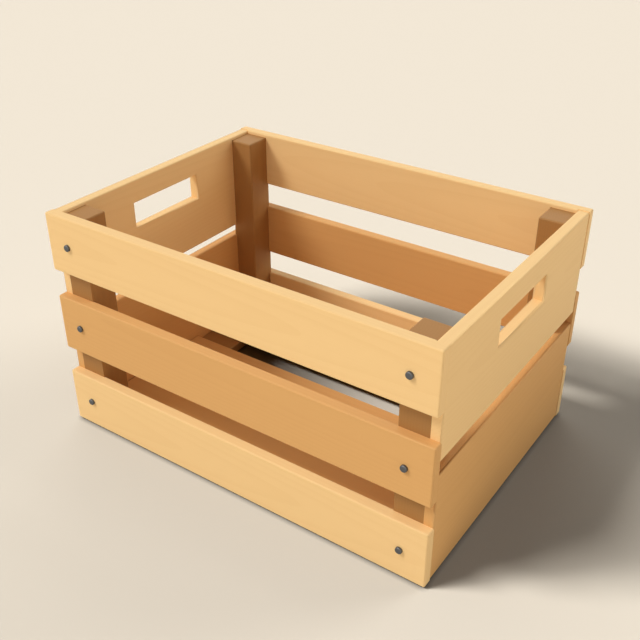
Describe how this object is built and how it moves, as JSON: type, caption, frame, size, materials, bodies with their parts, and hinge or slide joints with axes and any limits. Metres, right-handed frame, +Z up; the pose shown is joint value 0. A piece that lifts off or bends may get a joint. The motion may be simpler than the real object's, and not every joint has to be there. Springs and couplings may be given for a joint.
{
  "type": "slatted wooden crate",
  "caption": "Open-top wooden harvest crate: nailed side slats and boarded ends with hand holes on corner posts, over a slatted floor.",
  "frame": {"origin": "centre of the crate's footprint, on the ground it stands on", "axes": "+X along the crate's length, +Y from the front slats to the back slats, +Z up"},
  "size_m": [0.504, 0.3658, 0.2874],
  "materials": {
    "pale_pine": "planed, matte",
    "tan_pine": "planed, matte",
    "brown_wood": "stained, matte",
    "dowel_beech": "plain",
    "dark_steel": "dull grey"
  },
  "bodies": {
    "root": {"front_top_slat": "pale_pine", "front_middle_slat": "tan_pine", "front_bottom_slat": "pale_pine", "back_top_slat": "pale_pine", "back_middle_slat": "tan_pine", "back_bottom_slat": "pale_pine", "left_upper_end_board": "pale_pine", "left_lower_end_board": "tan_pine", "left_floor_bearer": "brown_wood", "left_end_dowels": "dowel_beech", "front_left_post": "brown_wood", "back_left_post": "brown_wood", "right_upper_end_board": "pale_pine", "right_lower_end_board": "tan_pine", "right_floor_bearer": "brown_wood", "right_end_dowels": "dowel_beech", "front_right_post": "brown_wood", "back_right_post": "brown_wood", "front_floor_board": "tan_pine", "middle_floor_board": "tan_pine", "back_floor_board": "tan_pine", "front_slat_nails": "dark_steel", "back_slat_nails": "dark_steel", "floor_board_nails": "dark_steel", "bearer_screws": "dark_steel"}
  },
  "joints": []
}
